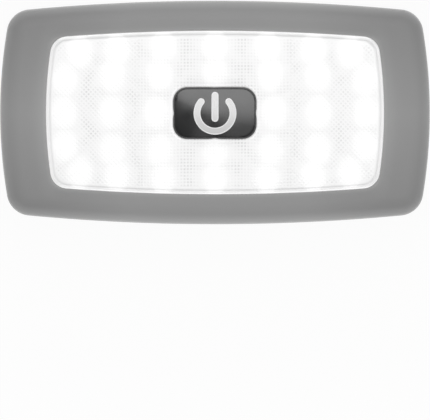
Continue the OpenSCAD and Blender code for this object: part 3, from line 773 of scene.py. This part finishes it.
def floorMaterial():
    material = bpy.data.materials.new("Paper white floor")
    material.use_nodes = True
    material.cycles.emission_sampling = "NONE"  # its glow is for the eye alone and lights nothing
    tree = material.node_tree
    tree.nodes.clear()
    paper = addNode(tree, "BsdfDiffuse", {"Color": linear(studio["floorColour"])})
    bright = addNode(tree, "Emission", {"Color": linear(whiteLight), "Strength": 1.0})
    path = addNode(tree, "LightPath").outputs
    seen = addNode(tree, "Math", (path["Is Glossy Ray"], path["Is Transmission Ray"]), operation="MAXIMUM")
    seen = addNode(tree, "Math", (path["Is Camera Ray"], seen), operation="MAXIMUM")
    share = addNode(tree, "Math", (seen, studio["floorGlow"]), operation="MULTIPLY")
    mixed = addNode(tree, "MixShader", (share, paper, bright))
    # clear from below, so that the back of the lamp can be looked at
    under = addNode(tree, "NewGeometry").outputs["Backfacing"]
    clear = addNode(tree, "BsdfTransparent")
    addNode(tree, "OutputMaterial", {"Surface": addNode(tree, "MixShader", (under, mixed, clear))})
    return material


def makeFloor():
    # open where the lamp covers it, so that light reaches the back of the lamp
    bm = bmesh.new()
    opening = bowedFace(bm, moved(housing, studio["floorInset"]), -studio["floorDrop"])
    rim = list(opening.edges)
    bmesh.ops.delete(bm, geom=[opening], context="FACES_ONLY")
    grown = bmesh.ops.extrude_edge_only(bm, edges=rim)["geom"]
    reach = studio["floorReach"]
    bmesh.ops.scale(
        bm, vec=(reach / housing["halfLength"], reach / housing["halfWidth"], 1),
        verts=only(bmesh.types.BMVert, grown))
    bmesh.ops.scale(bm, vec=(mm, mm, mm), verts=bm.verts)
    bm.normal_update()
    bmesh.ops.reverse_faces(bm, faces=[f for f in bm.faces if f.normal.z < 0])
    mesh = bpy.data.meshes.new("floor")
    bm.to_mesh(mesh)
    bm.free()
    floor = bpy.data.objects.new("floor", mesh)
    bpy.context.scene.collection.objects.link(floor)
    mesh.materials.append(floorMaterial())


def makeWorld():
    world = bpy.data.worlds.new("Soft studio")
    bpy.context.scene.world = world
    world.use_nodes = True
    tree = world.node_tree
    tree.nodes.clear()
    # white to the camera; the room is pale at the sides and darker overhead
    seen = addNode(tree, "LightPath").outputs["Is Camera Ray"]
    axes = addNode(tree, "SeparateXYZ", (addNode(tree, "TexCoord").outputs["Generated"],))
    levels = (*studio["room"], studio["horizon"], studio["zenith"])
    room = addNode(tree, "MapRange", (axes.outputs["Z"], *levels), **smoothly)
    level = addNode(tree, "Math", (seen, room), operation="MAXIMUM")
    sky = addNode(tree, "Background", {"Color": linear(whiteLight), "Strength": level})
    addNode(tree, "OutputWorld", {"Surface": sky})


def makeLight(name, place, size, radiance, shape):
    light = bpy.data.lights.new(name, "AREA")
    light.shape = shape
    light.size, light.size_y = size
    area = size[0] * size[1] * (math.pi / 4 if shape == "ELLIPSE" else 1)
    light.energy = radiance * math.pi * area  # a lamp's face glows by its power over its area
    lamp = bpy.data.objects.new(name, light)
    bpy.context.scene.collection.objects.link(lamp)
    lamp.location = place
    lamp.visible_camera = False
    return lamp


def makeLamps():
    # four low strips round the lamp, kept out of the gloss so that none of them shows on the button
    for name, (place, width, radiance) in studio["strips"].items():
        strip = makeLight(name, place, (width, studio["stripHeight"]), radiance, "RECTANGLE")
        aim = Vector((0, 0, 0)) - Vector(place)
        strip.rotation_euler = aim.to_track_quat("-Z", "Y").to_euler()
        strip.visible_glossy = False
    # three softboxes that only the gloss shows: the large one over the back half, and two faint ones
    for name, (place, size, radiance, turn) in studio["softboxes"].items():
        softbox = makeLight(name, place, size, radiance, "ELLIPSE")
        softbox.rotation_euler = (0, 0, math.radians(turn))
        softbox.visible_diffuse = False


def makeCamera():
    look = studio["camera"]
    camera = bpy.data.cameras.new("camera")
    camera.lens, camera.sensor_width = look["lens"], look["sensor"]
    camera.clip_start, camera.clip_end = look["near"], look["far"]
    eye = bpy.data.objects.new("camera", camera)
    bpy.context.scene.collection.objects.link(eye)
    # straight above the lamp, and turned a little so that the lamp stands in the upper half of the picture
    height = look["lens"] / camera.sensor_width * look["frameWidth"] + bezel["rim"]
    eye.location = (0, 0, height * mm)
    eye.rotation_euler = (math.atan2(look["aimY"], height), 0, 0)
    bpy.context.scene.camera = eye


makeFloor()
makeWorld()
makeLamps()
makeCamera()
bpy.context.scene.view_settings.view_transform = "Standard"
print("studio ready")
